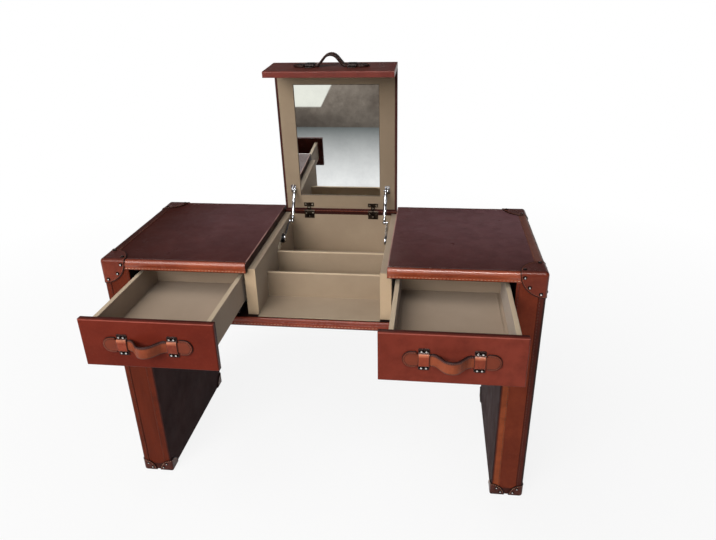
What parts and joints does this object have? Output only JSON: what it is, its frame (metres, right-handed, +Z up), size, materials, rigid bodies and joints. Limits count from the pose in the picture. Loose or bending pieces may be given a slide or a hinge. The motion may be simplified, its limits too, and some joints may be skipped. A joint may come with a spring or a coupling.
{
  "type": "dressing table with a lift-up mirror",
  "caption": "Leather-covered dressing table with slab legs, a drawer each side and a centre bay whose hinged lid carries a mirror on friction stays.",
  "frame": {"origin": "on the floor, under the middle of the overall box of the pose it is stored in (drawers pulled out, lid up)", "axes": "+Z up, +X to the right as its user faces it, +Y from the user to the back"},
  "size_m": [1.2112, 0.8036, 1.2448],
  "materials": {
    "leather": "satin, grained, dark red-brown",
    "trim_leather": "satin, grained, darker red-brown",
    "lining": "matte beige lining",
    "drawer_lining": "matte tan lining",
    "nails": "antique bronze, polished on the crown",
    "bronze": "dark bronze",
    "chrome": "polished",
    "slide_steel": "zinc plated",
    "mirror": "silvered glass"
  },
  "bodies": {
    "case": {"back_panel": "leather", "back_rail": "leather", "bay_back_lining": "lining", "bay_floor_lining": "lining", "bottom_board": "leather", "cap_nails": "nails", "case_screws": "bronze", "corner_caps": "trim_leather", "divider_front": "lining", "divider_rear": "lining", "foot_caps": "trim_leather", "hinge_leaves_case": "bronze", "hinge_pins": "bronze", "leg_left": "leather", "leg_lining_left": "leather", "leg_lining_right": "leather", "leg_right": "leather", "partition_left": "lining", "partition_right": "lining", "slide_rails_left": "slide_steel", "slide_rails_right": "slide_steel", "stay_bracket_left": "chrome", "stay_bracket_right": "chrome", "top_left": "leather", "top_right": "leather"},
    "drawer_left": {"drawer_left_front": "leather", "drawer_left_side_inner": "drawer_lining", "drawer_left_side_outer": "drawer_lining", "drawer_left_back": "drawer_lining", "drawer_left_floor": "drawer_lining", "drawer_left_runners": "slide_steel", "drawer_left_strap": "trim_leather", "drawer_left_strap_loops": "trim_leather", "drawer_left_strap_nails": "nails"},
    "stay_arm_left": {"stay_arm_left": "chrome"},
    "stay_damper_left": {"stay_damper_left": "chrome"},
    "drawer_right": {"drawer_right_front": "leather", "drawer_right_side_inner": "drawer_lining", "drawer_right_side_outer": "drawer_lining", "drawer_right_back": "drawer_lining", "drawer_right_floor": "drawer_lining", "drawer_right_runners": "slide_steel", "drawer_right_strap": "trim_leather", "drawer_right_strap_loops": "trim_leather", "drawer_right_strap_nails": "nails"},
    "stay_arm_right": {"stay_arm_right": "chrome"},
    "stay_damper_right": {"stay_damper_right": "chrome"},
    "lid": {"lid_panel": "leather", "lid_fall": "leather", "fall_lining": "lining", "lid_frame": "lining", "lid_mirror": "mirror", "lid_strap": "trim_leather", "lid_strap_loops": "trim_leather", "lid_strap_nails": "nails", "hinge_leaves_lid": "bronze", "lid_screws": "bronze", "stay_mounts": "chrome"}
  },
  "joints": [
    {"name": "lid_hinge", "type": "hinge", "parent": "case", "child": "lid", "pos_m": [0, 0.3857, 0.7342], "axis": [1, 0, 0], "range_deg": [0, 86.5]},
    {"name": "drawer_left_slide", "type": "slide", "parent": "case", "child": "drawer_left", "axis": [0, 1, 0], "range_m": [0, 0.272]},
    {"name": "drawer_right_slide", "type": "slide", "parent": "case", "child": "drawer_right", "axis": [0, 1, 0], "range_m": [0, 0.272]},
    {"name": "stay_foot_left", "type": "hinge", "parent": "case", "child": "stay_arm_left", "pos_m": [0, 0.2375, 0.692], "axis": [1, 0, 0], "range_deg": [-77.21, 0]},
    {"name": "stay_head_left", "type": "hinge", "parent": "lid", "child": "stay_damper_left", "pos_m": [0, 0.3715, 0.812], "axis": [1, 0, 0], "range_deg": [-67.69, 0]},
    {"name": "stay_foot_right", "type": "hinge", "parent": "case", "child": "stay_arm_right", "pos_m": [0, 0.2375, 0.692], "axis": [1, 0, 0], "range_deg": [-77.21, 0]},
    {"name": "stay_head_right", "type": "hinge", "parent": "lid", "child": "stay_damper_right", "pos_m": [0, 0.3715, 0.812], "axis": [1, 0, 0], "range_deg": [-67.69, 0]}
  ],
  "couplings": [
    {"joint": "stay_foot_left", "follows": "lid_hinge", "ratio": -0.89024},
    {"joint": "stay_head_left", "follows": "lid_hinge", "ratio": -0.78022},
    {"joint": "stay_foot_right", "follows": "lid_hinge", "ratio": -0.89024},
    {"joint": "stay_head_right", "follows": "lid_hinge", "ratio": -0.78022}
  ]
}
